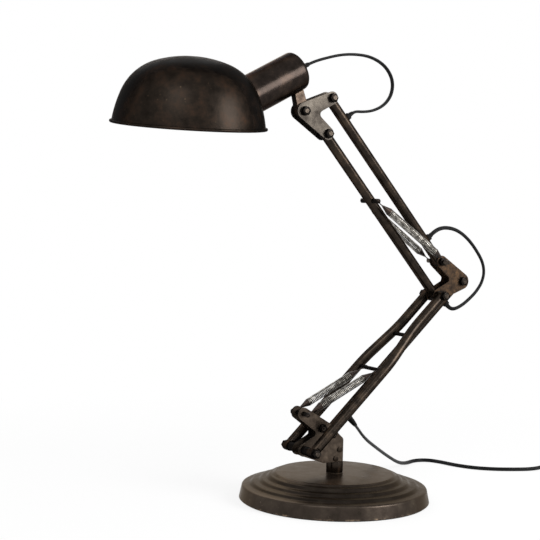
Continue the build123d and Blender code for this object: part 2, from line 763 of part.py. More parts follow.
def coil_and_plug():
    ahead = Vector(1, 0, 0)
    exit_x = switch_x + switch_len
    centre = Vector(exit_x + coil_lead, switch_y - coil_out_r, 0)
    stations = [
        (Vector(exit_x, switch_y, switch_h / 2), ahead),
        (Vector(exit_x + coil_straight, switch_y, switch_h / 2), ahead)]
    half_turns = 2 * coil_layer_turns
    drop = (coil_out_r - coil_in_r) / half_turns

    def spot(i, radius, z):
        angle = math.pi * i
        side = math.cos(angle)
        return Vector(centre.X, centre.Y + side * radius, z), Vector(side, 0, 0)

    for i in range(half_turns + 1):
        stations.append(spot(i, coil_out_r - drop * i, cord_z))
    for i in range(half_turns + 1):
        stations.append(spot(half_turns + 1 + i, coil_in_r + drop * i, cord_z + coil_layer))
    last = stations[-1][0]
    entry_x = last.X - coil_tail
    back = Vector(-1, 0, 0)
    stations.append((Vector(entry_x + coil_straight, last.Y, plug_h / 2), back))
    stations.append((Vector(entry_x, last.Y, plug_h / 2), back))
    path = smooth_path(stations)
    print("mains_coil least gap between turns", round(least_gap(path, 2 * cord_r), 2))
    write("mains_coil", wound(path, cord_r, 6))
    plan = make_face(Polyline(
        (0, -relief_r), (-relief_len, -relief_r), (-plug_shoulder, -plug_w / 2),
        (-plug_len, -plug_w / 2), (-plug_len, plug_w / 2), (-plug_shoulder, plug_w / 2),
        (-relief_len, relief_r), (0, relief_r), close=True))
    body = extrude(plan, plug_h)
    body = fillet(body.edges().filter_by(Axis.Z).sort_by(Axis.X)[:4], plug_corner_r)
    body = fillet(body.edges().group_by(Axis.Z)[-1], plug_edge_r)
    for side in (1, -1):
        prong = Pos(-plug_len, side * plug_pin_pitch / 2, plug_h / 2) * Rot(0, -90, 0) * Cylinder(
            plug_pin_r, plug_pin_len, align=(Align.CENTER, Align.CENTER, Align.MIN))
        body += prong
    write("plug", Pos(entry_x, last.Y, 0) * body)
    return path.length


base()
yoke()
cable_tube("lower", base_apex, lower_angle, lower_len)
fork()
elbow()
cable_tube("upper", elbow_high, upper_angle, upper_len)
upper_link()
head_bracket()
head()
springs()
loops()
mains_length = mains()
cord_switch()
mains_length += coil_and_plug() + switch_len
print("mains cord length from the arm to the plug", round(mains_length))
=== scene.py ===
import math
import bmesh
import bpy
from mathutils import Euler, Matrix, Vector


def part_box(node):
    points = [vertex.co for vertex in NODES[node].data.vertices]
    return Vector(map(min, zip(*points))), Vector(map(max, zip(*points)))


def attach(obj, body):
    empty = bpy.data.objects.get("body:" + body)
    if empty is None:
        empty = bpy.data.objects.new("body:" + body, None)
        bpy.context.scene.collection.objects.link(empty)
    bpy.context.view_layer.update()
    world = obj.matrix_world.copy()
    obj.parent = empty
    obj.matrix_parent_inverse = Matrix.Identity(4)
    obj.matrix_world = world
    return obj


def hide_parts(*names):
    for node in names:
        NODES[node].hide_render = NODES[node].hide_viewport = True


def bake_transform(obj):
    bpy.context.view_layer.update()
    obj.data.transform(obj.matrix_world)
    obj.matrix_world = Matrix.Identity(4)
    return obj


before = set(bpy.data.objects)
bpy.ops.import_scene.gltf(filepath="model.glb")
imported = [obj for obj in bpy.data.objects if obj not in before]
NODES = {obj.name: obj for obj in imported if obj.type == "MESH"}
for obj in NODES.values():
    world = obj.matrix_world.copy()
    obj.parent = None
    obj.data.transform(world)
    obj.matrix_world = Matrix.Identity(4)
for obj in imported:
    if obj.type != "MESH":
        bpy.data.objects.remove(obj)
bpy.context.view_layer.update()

# The camera stands a little above the table, 31 degrees round to the shade's side, as the
# photograph was taken, with a long lens and a slight roll.
CAMERA_PLACE = (-0.94405, -1.40151, 0.38894)
CAMERA_TURN = -31.0
CAMERA_DOWN = 3.41
CAMERA_ROLL = 1.36
CAMERA_LENS = 89.93
lens = bpy.data.cameras.new("camera")
lens.lens = CAMERA_LENS
lens.sensor_width = 36.0
lens.clip_start = 0.05
camera = bpy.data.objects.new("camera", lens)
bpy.context.scene.collection.objects.link(camera)
aim = Euler((math.radians(90 - CAMERA_DOWN), 0, math.radians(CAMERA_TURN))).to_matrix()
aim = aim @ Matrix.Rotation(math.radians(CAMERA_ROLL), 3, "Z")
camera.matrix_world = Matrix.Translation(CAMERA_PLACE) @ aim.to_4x4()
bpy.context.scene.camera = camera
bpy.context.scene.view_settings.view_transform = "Standard"


# The studio: a pale paper floor that runs on under a white background, a large soft box over
# the front left, one low on the right that draws a soft line along each tube, and one behind.
def linear(hex_colour):
    """An sRGB hex colour as the linear values that a shader takes."""
    channels = [int(hex_colour[i:i + 2], 16) / 255 for i in (1, 3, 5)]
    return [c / 12.92 if c <= 0.04045 else ((c + 0.055) / 1.055) ** 2.4 for c in channels] + [1.0]


def add_node(material, kind, links=(), stops=(), **settings):
    """A node with its settings and the links into it: input name, from node, output name. A
    colour ramp takes its stops from a list of place and hex colour."""
    tree = material.node_tree
    item = tree.nodes.new(kind)
    for name, value in settings.items():
        if hasattr(item, name):
            setattr(item, name, value)
        else:
            item.inputs[name.replace("_", " ")].default_value = value
    for target, source, output in links:
        tree.links.new(source.outputs[output], item.inputs[target])
    if stops:
        points = item.color_ramp.elements
        points[0].position, points[0].color = stops[0][0], linear(stops[0][1])
        points[1].position, points[1].color = stops[-1][0], linear(stops[-1][1])
        for place, colour in stops[1:-1]:
            points.new(place).color = linear(colour)
    return item


def bare_material(name):
    """A material that has no nodes yet."""
    material = bpy.data.materials.new(name)
    material.use_nodes = True
    material.node_tree.nodes.clear()
    return material


def seen_directly(place):
    """1 for a ray from the camera, a mirror or a glass, and 0 for light on its way round."""
    ray = add_node(place, "ShaderNodeLightPath")
    either = add_node(
        place, "ShaderNodeMath", [(0, ray, "Is Camera Ray"), (1, ray, "Is Glossy Ray")],
        operation="MAXIMUM")
    return add_node(
        place, "ShaderNodeMath", [(0, either, 0), (1, ray, "Is Transmission Ray")],
        operation="MAXIMUM")


MM = 0.001
FLOOR_SIZE = 12.0
FLOOR_DROP = 0.2 * MM
# The floor glows by this share near the object, and grows to full white between two distances
# from it in metres.
FLOOR_GLOW = 0.8
FADE_START, FADE_END = 0.25, 0.9
bpy.ops.object.select_all(action="DESELECT")
bpy.ops.mesh.primitive_plane_add(size=FLOOR_SIZE)
floor = bpy.context.object
floor.name = "floor"
floor.data.transform(Matrix.Translation((0, 0, -FLOOR_DROP)))
paper = bare_material("white_paper_floor")
matte = add_node(paper, "ShaderNodeBsdfDiffuse", Color=linear("#f7f7f7"))
glow = add_node(paper, "ShaderNodeEmission", Color=linear("#ffffff"), Strength=1.0)
direct = seen_directly(paper)
spot = add_node(paper, "ShaderNodeTexCoord")
reach = add_node(paper, "ShaderNodeVectorMath", [(0, spot, "Object")], operation="LENGTH")
whiter = add_node(
    paper, "ShaderNodeMapRange", [("Value", reach, "Value")],
    From_Min=FADE_START, From_Max=FADE_END, To_Min=FLOOR_GLOW, To_Max=1.0)
share = add_node(paper, "ShaderNodeMath", [(0, direct, 0), (1, whiter, 0)], operation="MULTIPLY")
both = add_node(paper, "ShaderNodeMixShader", [("Fac", share, 0), (1, matte, 0), (2, glow, 0)])
add_node(paper, "ShaderNodeOutputMaterial", [("Surface", both, 0)])
floor.data.materials.append(paper)

WORLD_LIGHT = 0.5
world = bpy.data.worlds.new("studio")
world.use_nodes = True
world.node_tree.nodes.clear()
bpy.context.scene.world = world
plain = add_node(world, "ShaderNodeBackground", Color=linear("#ffffff"), Strength=WORLD_LIGHT)
white = add_node(world, "ShaderNodeBackground", Color=linear("#ffffff"), Strength=1.0)
direct = seen_directly(world)
backdrop = add_node(
    world, "ShaderNodeMixShader", [("Fac", direct, 0), (1, plain, 0), (2, white, 0)])
add_node(world, "ShaderNodeOutputWorld", [("Surface", backdrop, 0)])

# Each box's name, place, width in metres and power in watts. All face the middle of the object.
SOFT_BOXES = [
    ("high_box", (-1.6, -1.3, 1.9), 1.2, 18.0),
    ("right_box", (0.9, -1.55, 1.0), 0.9, 33.0),
    ("back_box", (0.4, 1.8, 1.8), 1.4, 12.0),
]
LIT_MIDDLE = Vector((0, 0, 0.28))
for name, place, size, power in SOFT_BOXES:
    lamp = bpy.data.lights.new(name, "AREA")
    lamp.shape = "SQUARE"
    lamp.size = size
    lamp.energy = power
    box = bpy.data.objects.new(name, lamp)
    box.location = place
    aim = LIT_MIDDLE - Vector(place)
    box.rotation_euler = aim.to_track_quat("-Z", "Y").to_euler()
    bpy.context.scene.collection.objects.link(box)


# The base: a pressed steel cover with a sloping wall and four shallow steps up to a flat disc,
# lacquered a warm grey-brown, over a cast iron disc with a felt pad glued under it.
BASE_EDGE_R = 119.95
BASE_WALL = [
    (118.6, 1.0), (119.5, 1.1), (BASE_EDGE_R, 1.6), (119.8, 2.4),
    (117.1, 15.4), (116.8, 16.6), (116.2, 17.5), (115.2, 18.1), (113.8, 18.38)]
# Each step is the radius and height at its foot and at its top. The press leaves it soft.
BASE_STEPS = [
    (108.2, 19.1, 102.0, 22.6), (97.0, 23.2, 90.8, 26.7),
    (87.0, 27.2, 80.8, 31.6), (79.6, 31.8, 73.6, 34.4)]
STEP_POINTS = 8
BASE_DISC = [(40.0, 34.4), (6.0, 34.4)]
BASE_SIDES = 144
base_rings = list(BASE_WALL)
for foot_r, low, top_r, high in BASE_STEPS:
    for i in range(STEP_POINTS + 1):
        rise = (1 - math.cos(math.pi * i / STEP_POINTS)) / 2
        base_rings.append((foot_r + (top_r - foot_r) * i / STEP_POINTS, low + (high - low) * rise))
base_rings += BASE_DISC


def stood(middle, axis):
    """The move that stands a piece made along Z along an axis through a point."""
    return Matrix.Translation(middle) @ Vector(axis).to_track_quat("Z", "X").to_matrix().to_4x4()


def into_mesh(piece, move=Matrix.Identity(4)):
    """A piece's own place, and then a move, go into its mesh, and its object stays unmoved."""
    bpy.context.view_layer.update()
    piece.data.transform(move @ piece.matrix_world)
    piece.matrix_world = Matrix.Identity(4)


def turned(name, rings, sides, middle=(0, 0, 0), axis=(0, 0, 1)):
    """A turned or spun form: a disc drawn out ring by ring, each a radius and a height in mm."""
    bpy.ops.object.select_all(action="DESELECT")
    start_radius, start_height = rings[0]
    bpy.ops.mesh.primitive_circle_add(
        vertices=sides, radius=start_radius * MM, fill_type="NGON",
        location=(0, 0, start_height * MM))
    piece = bpy.context.object
    piece.name = name
    bpy.ops.object.mode_set(mode="EDIT")
    bpy.ops.mesh.select_all(action="SELECT")
    for (before, low), (after, high) in zip(rings, rings[1:]):
        bpy.ops.mesh.extrude_region_move(
            TRANSFORM_OT_translate={"value": (0, 0, (high - low) * MM)})
        bpy.ops.transform.resize(
            value=(after / before, after / before, 1), center_override=(0, 0, high * MM))
    bpy.ops.mesh.select_all(action="SELECT")
    bpy.ops.mesh.normals_make_consistent(inside=False)
    bpy.ops.object.mode_set(mode="OBJECT")
    into_mesh(piece, stood(middle, axis))
    return piece


def pick(piece):
    """Select one piece alone, because an operator acts on all that is selected."""
    bpy.ops.object.select_all(action="DESELECT")
    bpy.context.view_layer.objects.active = piece
    piece.select_set(True)


# How far a face of a plate looks along Y: less than the first is cut rim, more than the second
# is the plate's flat face.
RIM_BELOW, FLAT_ABOVE = 0.5, 0.999


def settle(piece, material, slot, nodes, body=None, smooth=24, cut_edge=None):
    """Shade a finished piece, give it its materials, and let it stand for its solids on a body."""
    pick(piece)
    bpy.ops.object.shade_smooth_by_angle(angle=math.radians(smooth))
    if material:
        piece.data.materials.clear()
        piece.data.materials.append(material)
    if cut_edge:
        piece.data.materials.append(cut_edge)
        for face in piece.data.polygons:
            face.material_index = 1 if abs(face.normal.y) < RIM_BELOW else 0
            face.use_smooth = abs(face.normal.y) < FLAT_ABOVE
    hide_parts(*nodes)
    if body:
        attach(piece, body)
    return piece


# Where on a cloud the gloss begins and stops changing, and where on the clouds of its chips bare
# metal begins and is full, before a finish's own amount moves both.
CLOUD_LOW, CLOUD_HIGH = 0.32, 0.68
CHIP_START, CHIP_FULL = 0.72, 0.76
GRAIN_DEPTH = 0.3 * MM


def weathered(
        name, stops, patch, gloss, metallic, grain, lift, rim="#ffffff", shine=0.5, chips=None):
    """A worn finish: clouds of one size in mm pick its colour and gloss, a fine grain lifts it,
    and where it has chips, given as a size in mm, an amount and a colour, the metal shows."""
    material = bare_material(name)
    place = add_node(material, "ShaderNodeTexCoord")
    cloud = add_node(
        material, "ShaderNodeTexNoise", [("Vector", place, "Object")],
        Scale=1 / (patch * MM), Detail=7.0, Roughness=0.66)
    tint = add_node(material, "ShaderNodeValToRGB", [("Fac", cloud, "Fac")], stops)
    sheen = add_node(
        material, "ShaderNodeMapRange", [("Value", cloud, "Fac")],
        From_Min=CLOUD_LOW, From_Max=CLOUD_HIGH, To_Min=gloss[0], To_Max=gloss[1])
    fine = add_node(
        material, "ShaderNodeTexNoise", [("Vector", place, "Object")],
        Scale=1 / (grain * MM), Detail=3.0)
    bump = add_node(
        material, "ShaderNodeBump", [("Height", fine, "Fac")], Strength=lift, Distance=GRAIN_DEPTH)
    colour = tint
    if chips:
        size, amount, bare = chips
        spots = add_node(
            material, "ShaderNodeTexNoise", [("Vector", place, "Object")],
            Scale=1 / (size * MM), Detail=4.0, Roughness=0.6)
        worn = add_node(
            material, "ShaderNodeMapRange", [("Value", spots, "Fac")],
            From_Min=CHIP_START - amount, From_Max=CHIP_FULL - amount, To_Min=0.0, To_Max=1.0)
        colour = add_node(
            material, "ShaderNodeMixRGB", [("Fac", worn, "Result"), ("Color1", tint, "Color")],
            Color2=linear(bare))
    skin = add_node(
        material, "ShaderNodeBsdfPrincipled",
        [("Base Color", colour, "Color"), ("Roughness", sheen, "Result"),
         ("Normal", bump, "Normal")],
        Metallic=metallic, Specular_Tint=linear(rim), Specular_IOR_Level=shine)
    add_node(material, "ShaderNodeOutputMaterial", [("Surface", skin, 0)])
    return material


# Bronze-brown stove lacquer over pressed steel: an even satin skin with faint cloudy rubbing.
lacquer = weathered(
    "bronze_lacquer_pressed_steel",
    [(0.3, "#312b25"), (0.5, "#3e3630"), (0.7, "#4b433a")],
    patch=22.0, gloss=(0.26, 0.42), metallic=0.9, grain=1.1, lift=0.11, rim="#cfc6bc",
    chips=(3.5, 0.03, "#86796b"))
# Painted shade: the steps' colour is darkened by its radius, standing in for the darker
# surroundings that the steps reflect, while the disc and the wall keep their own colour.
PAINTED_STEP_SHADE = [(0.60, "#ffffff"), (0.66, "#aaaaaa"), (0.88, "#9c9c9c"), (0.94, "#ececec")]
skin = lacquer.node_tree.nodes["Principled BSDF"]
worn_tint = skin.inputs["Base Color"].links[0].from_node
place = add_node(lacquer, "ShaderNodeTexCoord")
flat = add_node(lacquer, "ShaderNodeMapping", [("Vector", place, "Object")], Scale=(1, 1, 0))
reach = add_node(lacquer, "ShaderNodeVectorMath", [(0, flat, "Vector")], operation="LENGTH")
across = add_node(
    lacquer, "ShaderNodeMapRange", [("Value", reach, "Value")],
    From_Min=0.0, From_Max=BASE_EDGE_R * MM, To_Min=0.0, To_Max=1.0)
step_shade_ramp = add_node(lacquer, "ShaderNodeValToRGB", [("Fac", across, "Result")], PAINTED_STEP_SHADE)
# The painted shade on the steps multiplies into the lacquer's colour here.
step_shaded = add_node(
    lacquer, "ShaderNodeMixRGB", [("Color1", worn_tint, "Color"), ("Color2", step_shade_ramp, "Color")],
    blend_type="MULTIPLY", Fac=1.0)
# The foot of the wall is rubbed to bare steel in places, where the base is slid about.
RUBBED_FULL, RUBBED_NONE = 0.8 * MM, 3.6 * MM
SCUFF_SIZE = 14 * MM
SCUFF_START, SCUFF_FULL = 0.53, 0.68
height = add_node(lacquer, "ShaderNodeSeparateXYZ", [("Vector", place, "Object")])
foot = add_node(
    lacquer, "ShaderNodeMapRange", [("Value", height, "Z")],
    From_Min=RUBBED_FULL, From_Max=RUBBED_NONE, To_Min=1.0, To_Max=0.0)
scuffs = add_node(
    lacquer, "ShaderNodeTexNoise", [("Vector", place, "Object")],
    Scale=1 / SCUFF_SIZE, Detail=6.0, Roughness=0.7)
rubbed = add_node(
    lacquer, "ShaderNodeMapRange", [("Value", scuffs, "Fac")],
    From_Min=SCUFF_START, From_Max=SCUFF_FULL, To_Min=0.0, To_Max=1.0)
where = add_node(
    lacquer, "ShaderNodeMath", [(0, foot, "Result"), (1, rubbed, "Result")], operation="MULTIPLY")
scuffed = add_node(
    lacquer, "ShaderNodeMixRGB", [("Fac", where, 0), ("Color1", step_shaded, "Color")],
    Color2=linear("#a08a74"))
lacquer.node_tree.links.new(scuffed.outputs["Color"], skin.inputs["Base Color"])
cover = turned("base_cover_spun", base_rings, BASE_SIDES)
settle(cover, lacquer, "aged_iron", ["base_cover"], "base", smooth=40)

# The disc under the cover is cast iron, the pad is glued to it, and the post's spindle turns on
# a steel washer and is held by a nut. Grey wool felt: short fibres scatter the light.
felt = weathered(
    "pressed_wool_felt", [(0.3, "#2c2b29"), (0.7, "#403e3b")],
    patch=1.6, gloss=(0.95, 1.0), metallic=0.0, grain=0.7, lift=0.6)
# Grey iron as cast in sand: a coarse matt skin.
cast = weathered(
    "sand_cast_iron", [(0.3, "#2b2927"), (0.7, "#3d3a36")],
    patch=6.0, gloss=(0.6, 0.8), metallic=0.8, grain=1.2, lift=0.5)
# Turned mild steel, browned: a satin skin, a little lighter where it is worn.
washer_steel = weathered(
    "browned_turned_steel", [(0.3, "#2a241e"), (0.7, "#4a4036")],
    patch=4.0, gloss=(0.3, 0.5), metallic=0.85, grain=0.5, lift=0.15)


def finish_solid(names, material):
    """A solid whose shape is right keeps it and gets its real finish."""
    for name in names:
        for place in NODES[name].material_slots:
            place.material = material


finish_solid(["felt_pad"], felt)
finish_solid(["base_weight"], cast)
finish_solid(["swivel_washer", "spindle_nut"], washer_steel)


# The post: a turned steel bar that swivels on the base, cut down above to a flat tongue that
# the yoke plates are riveted to. Antiqued iron: brown-black oxide with reddish-brown clouds.
iron = weathered(
    "antiqued_iron_oil_rubbed",
    [(0.3, "#191512"), (0.48, "#231e1a"), (0.62, "#2d241e"), (0.8, "#3c2a1f")],
    patch=17.0, gloss=(0.3, 0.46), metallic=0.92, grain=1.3, lift=0.3, rim="#6e645c",
    chips=(3.0, 0.02, "#5f5040"))
# The same iron as drawn tube: smoother, more even and a little greyer, as polishing leaves it.
tube_iron = weathered(
    "antiqued_iron_drawn_tube",
    [(0.3, "#1f1b18"), (0.5, "#2e2823"), (0.7, "#40362d")],
    patch=12.0, gloss=(0.22, 0.34), metallic=0.92, grain=0.9, lift=0.12, rim="#8a8178",
    chips=(2.4, 0.01, "#6e6154"))
# Cut edges and deep corners keep the black scale of the fire.
scale_black = weathered(
    "fire_scale_black", [(0.3, "#0f0d0c"), (0.7, "#1f1a17")],
    patch=6.0, gloss=(0.4, 0.55), metallic=0.9, grain=0.7, lift=0.2, rim="#6e645c")


# A solid's triangles are loose: points nearer than MERGE in mm become one, and so do faces that
# fold by less than FLAT_WITHIN degrees. An edge along Y that folds in by more than INNER_FOLD is a
# plate's inner corner, and one that folds either way by more than FILED_FOLD is filed.
MERGE = 0.002
FLAT_WITHIN = 0.5
ACROSS_PLATE = 0.99
INNER_FOLD = 40
FILED_FOLD = 50


def edged(node, width, notch=0.0):
    """A copy of a solid with its loose triangles merged and its sharp edges broken by a file. The
    inner corner of a plate's outline is rounded first, as the cutter leaves it."""
    solid = NODES[node]
    piece = bpy.data.objects.new(node + "_filed", solid.data.copy())
    bpy.context.scene.collection.objects.link(piece)
    pick(piece)
    bpy.ops.mesh.customdata_custom_splitnormals_clear()
    bpy.ops.object.mode_set(mode="EDIT")
    bpy.ops.mesh.select_all(action="SELECT")
    bpy.ops.mesh.remove_doubles(threshold=MERGE * MM)
    bpy.ops.mesh.dissolve_limited(angle_limit=math.radians(FLAT_WITHIN))
    if notch:
        bpy.ops.mesh.select_mode(type="EDGE")
        bpy.ops.mesh.select_all(action="DESELECT")
        shape = bmesh.from_edit_mesh(piece.data)
        for edge in shape.edges:
            way = (edge.verts[1].co - edge.verts[0].co).normalized()
            inner = edge.is_manifold and edge.calc_face_angle_signed() < -math.radians(INNER_FOLD)
            if inner and abs(way.y) > ACROSS_PLATE:
                edge.select = True
        bmesh.update_edit_mesh(piece.data)
        bpy.ops.mesh.bevel(offset=notch * MM, segments=8, affect="EDGES")
    bpy.ops.object.mode_set(mode="OBJECT")
    if width:
        bevel = piece.modifiers.new("edge", "BEVEL")
        bevel.width = width * MM
        bevel.segments = 2
        bevel.limit_method = "ANGLE"
        bevel.angle_limit = math.radians(FILED_FOLD)
        bpy.ops.object.modifier_apply(modifier="edge")
    return piece


def filed(node, width, material, slot, body, **how):
    """A solid of the frame, its edges broken to a width in mm, in the finish of the real one."""
    return settle(edged(node, width), material, slot, [node], body, **how)


filed("post", 0.35, tube_iron, "aged_iron", "yoke")


# The yoke plates: two steel plates flame-cut to one outline, riveted to the post's tongue, with
# a boss for the arm, an end for the fork and a finger for the springs. Brown-grey and rubbed.
yoke_steel = weathered(
    "brown_grey_rubbed_plate",
    [(0.3, "#352e28"), (0.5, "#483f37"), (0.66, "#5a4f45"), (0.8, "#6e6256")],
    patch=10.0, gloss=(0.32, 0.5), metallic=0.9, grain=0.9, lift=0.08, rim="#8a8178")
PLATE_FILED = 0.3
YOKE_NOTCH = 7.0


def plate(node, notch, steel, body):
    """One plate: its inner corners rounded, its faces worn steel and its cut rim black."""
    settle(
        edged(node, PLATE_FILED, notch), steel, "worn_steel", [node], body, cut_edge=scale_black)


for side in ("front", "rear"):
    plate("yoke_plate_" + side, YOKE_NOTCH, yoke_steel, "yoke")


# Bolts: hexagon nuts and heads, blacked so that they look dark and satin, on round washers, with
# a bright rolled thread end that stands out of each nut. One sort serves every joint of the arm.
PLATE_OUTER = 8.25
PLATE_THICK = 1.6
NUT_ACROSS, NUT_THICK, NUT_CHAMFER = 10.0, 5.0, 0.45
HEAD_THICK = 4.0
BOLT_R = 3.0
WASHER_R, WASHER_THICK, WASHER_EDGE = 5.9, 0.7, 0.2
THREAD_END, THREAD_PITCH, THREAD_DEPTH = 6.5, 0.55, 0.28
SMALL_CHAMFER, END_CHAMFER = 0.4, 0.5
INTO_HEAD = 0.1
# The lathe's centre mark in a bolt's end: how far in from the shank its rim and its floor are.
MARK_RIM, MARK_FLOOR, MARK_DEEP = 1.6, 1.9, 0.25
bolt_black = weathered(
    "blacked_hexagon_steel", [(0.3, "#0f0e0d"), (0.6, "#1d1a18"), (0.75, "#332a22")],
    patch=4.0, gloss=(0.3, 0.48), metallic=0.9, grain=0.4, lift=0.1, rim="#6e645c")
thread_bright = weathered(
    "bright_rolled_thread", [(0.3, "#2a2521"), (0.6, "#4b433b"), (0.75, "#6b6256")],
    patch=2.5, gloss=(0.22, 0.4), metallic=0.95, grain=0.3, lift=0.1)


def middle_of(node):
    """The centre of a pin or bolt in the plane that the arm swings in."""
    low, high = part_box(node)
    return Vector(((low.x + high.x) / 2, 0, (low.z + high.z) / 2))


def hexagon(low, high):
    """A hexagon nut along Z between two heights, its corners chamfered and its edges broken."""
    bpy.ops.object.select_all(action="DESELECT")
    bpy.ops.mesh.primitive_cylinder_add(
        vertices=6, radius=NUT_ACROSS / math.sqrt(3) * MM, depth=(high - low) * MM,
        location=(0, 0, (low + high) / 2 * MM))
    piece = bpy.context.object
    bpy.ops.object.mode_set(mode="EDIT")
    bpy.ops.mesh.select_all(action="SELECT")
    bpy.ops.mesh.bevel(offset=NUT_CHAMFER * MM, segments=2, affect="EDGES")
    bpy.ops.object.mode_set(mode="OBJECT")
    into_mesh(piece)
    piece.data.materials.append(bolt_black)
    return piece


def joined(name, pieces, middle, axis):
    """Pieces along Z as one, stood along an axis through a point."""
    bpy.ops.object.select_all(action="DESELECT")
    for piece in pieces:
        piece.select_set(True)
    bpy.context.view_layer.objects.active = pieces[0]
    bpy.ops.object.join()
    whole = bpy.context.object
    whole.name = name
    whole.data.transform(stood(middle, axis))
    return whole


def thread(low, high, threaded=THREAD_END):
    """A bolt's shank between two heights, its last millimetres threaded and its end chamfered."""
    rings = [(BOLT_R - SMALL_CHAMFER, low), (BOLT_R, low + SMALL_CHAMFER)]
    height = high - threaded + THREAD_PITCH
    rings.append((BOLT_R, height))
    while height < high - 2 * THREAD_PITCH:
        rings += [
            (BOLT_R - THREAD_DEPTH, height + THREAD_PITCH / 2), (BOLT_R, height + THREAD_PITCH)]
        height += THREAD_PITCH
    rings += [
        (BOLT_R, high - END_CHAMFER), (BOLT_R - END_CHAMFER, high),
        (BOLT_R - MARK_RIM, high), (BOLT_R - MARK_FLOOR, high - MARK_DEEP)]
    piece = turned("shank", rings, 24)
    piece.data.materials.append(thread_bright)
    return piece


def washer(low):
    """A round washer that lies on a face at a height."""
    piece = turned("washer", [
        (WASHER_R - WASHER_EDGE, low), (WASHER_R, low + WASHER_EDGE),
        (WASHER_R, low + WASHER_THICK - WASHER_EDGE),
        (WASHER_R - WASHER_EDGE, low + WASHER_THICK)], 32)
    piece.data.materials.append(bolt_black)
    return piece


def set_across(node, pieces, body):
    """Pieces along Z as one bolt or pin, across the plates where its solid is."""
    whole = joined(node + "_blacked", pieces, middle_of(node), (0, -1, 0))
    settle(whole, None, "bolt_steel", [node], body)


def bolt(node, reach, body, stands=THREAD_END):
    """A bolt along -Y: washer, nut and thread end in front, head and washer behind."""
    set_across(node, [
        thread(-reach - INTO_HEAD, reach + stands, stands), washer(reach),
        hexagon(reach + WASHER_THICK, reach + NUT_THICK),
        hexagon(-reach - HEAD_THICK, -reach - WASHER_THICK), washer(-reach - WASHER_THICK)], body)


FORK_REACH = 33.7
bolt("yoke_apex_bolt", PLATE_OUTER, "yoke")
bolt("fork_pin", FORK_REACH, "yoke")


def headed_pin(node, half, body, sleeve=0.0):
    """A pin across the plates with a hexagon head on each, and a sleeve between if it has one."""
    pieces = [
        hexagon(PLATE_OUTER, PLATE_OUTER + HEAD_THICK),
        hexagon(-PLATE_OUTER - HEAD_THICK, -PLATE_OUTER), thread(-half, half)]
    if sleeve:
        inner = PLATE_OUTER - PLATE_THICK
        pieces.append(turned("sleeve", [
            (sleeve - SMALL_CHAMFER, -inner), (sleeve, SMALL_CHAMFER - inner),
            (sleeve, inner - SMALL_CHAMFER), (sleeve - SMALL_CHAMFER, inner)], 32))
        pieces[-1].data.materials.append(bolt_black)
    set_across(node, pieces, body)


STOP_SLEEVE_R = 5.0
headed_pin("stop_bolt", PLATE_OUTER + HEAD_THICK, "yoke", STOP_SLEEVE_R)
for node in ("fork_spacer_front", "fork_spacer_rear"):
    filed(node, 0.3, scale_black, "bolt_steel", "yoke")
filed("spring_anchor_pin", 0.5, bolt_black, "bolt_steel", "yoke")


# The lower arm: a round steel tube that carries the cable inside. Its ends are pressed to
# eyes, and a rubber bush near each end lets the cable out. The fork's two tubes work beside it.
for node, body in (
        ("lower_cable_tube", "lower_arm"), ("fork_tube_front", "fork"), ("fork_tube_rear", "fork")):
    filed(node, 0.0, tube_iron, "aged_iron", body, smooth=28)
for node in ("fork_rod_high", "fork_rod_low"):
    filed(node, 0.4, bolt_black, "bolt_steel", "fork")

# Moulded nitrile rubber: dull, slightly dusty black.
rubber = weathered(
    "moulded_nitrile_rubber", [(0.3, "#0a0a0a"), (0.7, "#131211")],
    patch=3.0, gloss=(0.55, 0.7), metallic=0.0, grain=0.4, lift=0.15, shine=0.1)
for node, body in (
        ("lower_grommet_low", "lower_arm"), ("lower_grommet_high", "lower_arm"),
        ("upper_grommet_low", "upper_arm"), ("upper_grommet_high", "upper_arm")):
    filed(node, 0.7, rubber, "black_rubber", body)


# The elbow: two steel plates, rusty orange-brown where the old finish has gone. The bolt at their
# corner holds the lower tube, the fork's pin the link too, and the springs' long pin the upper
# tube.
elbow_steel = weathered(
    "rust_browned_plate",
    [(0.3, "#231d19"), (0.46, "#372d25"), (0.6, "#4e3d2e"), (0.78, "#664d35")],
    patch=8.0, gloss=(0.34, 0.55), metallic=0.85, grain=0.9, lift=0.09, rim="#8a8178")
ELBOW_NOTCH = 7.0
ELBOW_REACH = 21.2
LONG_PIN_HALF = 21.5
for side in ("front", "rear"):
    plate("elbow_plate_" + side, ELBOW_NOTCH, elbow_steel, "elbow")
    filed("elbow_spacer_" + side, 0.3, scale_black, "bolt_steel", "elbow")
bolt("elbow_apex_bolt", PLATE_OUTER, "elbow")
bolt("elbow_fork_pin", ELBOW_REACH, "elbow")
headed_pin("elbow_spring_pin", LONG_PIN_HALF, "elbow")


# The upper arm: one cable tube and, beside it, a link tube on the same plates, which keeps the
# head's plates level. A short pin through the link holds the upper springs.
for node, body in (("upper_cable_tube", "upper_arm"), ("upper_link_tube", "upper_link")):
    filed(node, 0.0, tube_iron, "aged_iron", body, smooth=28)
filed("upper_spring_pin", 0.5, bolt_black, "bolt_steel", "upper_link")


# The head plates: the arm's last pair, a lighter worn grey-brown steel with dark edges. Two bolts
# hold the ends of the cable tube and the link between them, and the third carries the head.
head_steel = weathered(
    "worn_grey_brown_plate",
    [(0.32, "#1e1b18"), (0.44, "#312d29"), (0.57, "#46413b"), (0.7, "#605a53")],
    patch=15.0, gloss=(0.26, 0.44), metallic=0.9, grain=0.9, lift=0.05, rim="#8a8178")
HEAD_NOTCH = 8.0
TILT_END = 5.4
for side in ("front", "rear"):
    plate("head_plate_" + side, HEAD_NOTCH, head_steel, "head_bracket")
for node in ("head_low_bolt", "head_high_bolt"):
    bolt(node, PLATE_OUTER, "head_bracket")
bolt("head_tilt_bolt", PLATE_OUTER, "head_bracket", stands=TILT_END)


